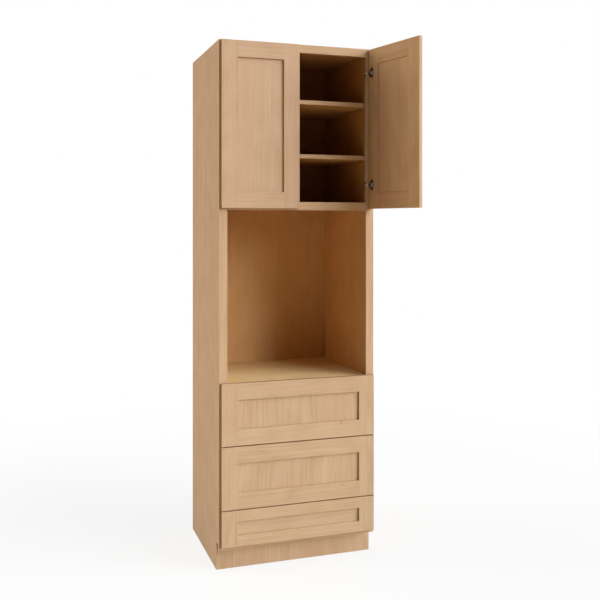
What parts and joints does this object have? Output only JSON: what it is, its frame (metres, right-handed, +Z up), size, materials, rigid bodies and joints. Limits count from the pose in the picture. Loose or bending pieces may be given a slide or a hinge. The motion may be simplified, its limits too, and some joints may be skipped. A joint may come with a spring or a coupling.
{
  "type": "tall oven cabinet",
  "caption": "Tall kitchen cabinet with a face frame: a cupboard with hinged doors and shelves above an open bay for a built-in oven, with full-extension drawers below.",
  "frame": {"origin": "on the floor, in the middle of the footprint of the box and its face frame, with the doors and drawer fronts left out", "axes": "+Z up, -Y out of the front with the doors and drawers, +X to the right as seen from the front"},
  "size_m": [0.8407, 0.9783, 2.4384],
  "materials": {
    "front_wood": "clear satin lacquer",
    "face_frame_wood": "clear satin lacquer",
    "end_veneer": "clear satin lacquer",
    "interior_ply": "clear satin lacquer",
    "drawer_wood": "clear satin lacquer",
    "drawer_ply": "clear satin lacquer",
    "hinge_nickel": "nickel plated",
    "slide_steel": "zinc plated",
    "bracket_plastic": "moulded, matte"
  },
  "bodies": {
    "carcass": {"left_end_panel": "end_veneer", "right_end_panel": "end_veneer", "left_box_side": "interior_ply", "right_box_side": "interior_ply", "back_panel": "interior_ply", "top_panel": "interior_ply", "cupboard_floor": "interior_ply", "oven_deck": "interior_ply", "bottom_deck": "interior_ply", "hanging_rails": "interior_ply", "toe_board": "end_veneer", "left_stile": "face_frame_wood", "right_stile": "face_frame_wood", "top_rail": "face_frame_wood", "cupboard_rail": "face_frame_wood", "oven_rail": "face_frame_wood", "upper_drawer_rail": "face_frame_wood", "lower_drawer_rail": "face_frame_wood", "bottom_rail": "face_frame_wood", "upper_shelf": "interior_ply", "lower_shelf": "interior_ply", "shelf_pins": "hinge_nickel", "hinge_plates": "hinge_nickel", "hinge_arms": "hinge_nickel", "hinge_pins": "hinge_nickel", "slide_cabinet_members": "slide_steel", "slide_rear_brackets": "bracket_plastic"},
    "left_door": {"left_door_stiles": "front_wood", "left_door_rails": "front_wood", "left_door_panel": "front_wood", "left_hinge_cups": "hinge_nickel"},
    "right_door": {"right_door_stiles": "front_wood", "right_door_rails": "front_wood", "right_door_panel": "front_wood", "right_hinge_cups": "hinge_nickel"},
    "lower_drawer": {"lower_drawer_front_stiles": "front_wood", "lower_drawer_front_rails": "front_wood", "lower_drawer_front_panel": "front_wood", "lower_drawer_box_sides": "drawer_wood", "lower_drawer_box_ends": "drawer_wood", "lower_drawer_box_bottom": "drawer_ply", "lower_slide_drawer_members": "slide_steel"},
    "lower_drawer_slide": {"lower_slide_middles": "slide_steel"},
    "middle_drawer": {"middle_drawer_front_stiles": "front_wood", "middle_drawer_front_rails": "front_wood", "middle_drawer_front_panel": "front_wood", "middle_drawer_box_sides": "drawer_wood", "middle_drawer_box_ends": "drawer_wood", "middle_drawer_box_bottom": "drawer_ply", "middle_slide_drawer_members": "slide_steel"},
    "middle_drawer_slide": {"middle_slide_middles": "slide_steel"},
    "upper_drawer": {"upper_drawer_front_stiles": "front_wood", "upper_drawer_front_rails": "front_wood", "upper_drawer_front_panel": "front_wood", "upper_drawer_box_sides": "drawer_wood", "upper_drawer_box_ends": "drawer_wood", "upper_drawer_box_bottom": "drawer_ply", "upper_slide_drawer_members": "slide_steel"},
    "upper_drawer_slide": {"upper_slide_middles": "slide_steel"}
  },
  "joints": [
    {"name": "left_door_hinge", "type": "hinge", "parent": "carcass", "child": "left_door", "pos_m": [-0.36615, -0.31718, 2.05184], "axis": [0, 0, -1], "range_deg": [0, 105]},
    {"name": "right_door_hinge", "type": "hinge", "parent": "carcass", "child": "right_door", "pos_m": [0.36615, -0.31718, 2.05184], "axis": [0, 0, 1], "range_deg": [-103.5, 1.5]},
    {"name": "lower_drawer_travel", "type": "slide", "parent": "carcass", "child": "lower_drawer", "axis": [0, -1, 0], "range_m": [0, 0.5334]},
    {"name": "lower_slide_travel", "type": "slide", "parent": "carcass", "child": "lower_drawer_slide", "axis": [0, -1, 0], "range_m": [0, 0.2667]},
    {"name": "middle_drawer_travel", "type": "slide", "parent": "carcass", "child": "middle_drawer", "axis": [0, -1, 0], "range_m": [0, 0.5334]},
    {"name": "middle_slide_travel", "type": "slide", "parent": "carcass", "child": "middle_drawer_slide", "axis": [0, -1, 0], "range_m": [0, 0.2667]},
    {"name": "upper_drawer_travel", "type": "slide", "parent": "carcass", "child": "upper_drawer", "axis": [0, -1, 0], "range_m": [0, 0.5334]},
    {"name": "upper_slide_travel", "type": "slide", "parent": "carcass", "child": "upper_drawer_slide", "axis": [0, -1, 0], "range_m": [0, 0.2667]}
  ],
  "couplings": [
    {"joint": "lower_slide_travel", "follows": "lower_drawer_travel", "ratio": 0.5},
    {"joint": "middle_slide_travel", "follows": "middle_drawer_travel", "ratio": 0.5},
    {"joint": "upper_slide_travel", "follows": "upper_drawer_travel", "ratio": 0.5}
  ]
}
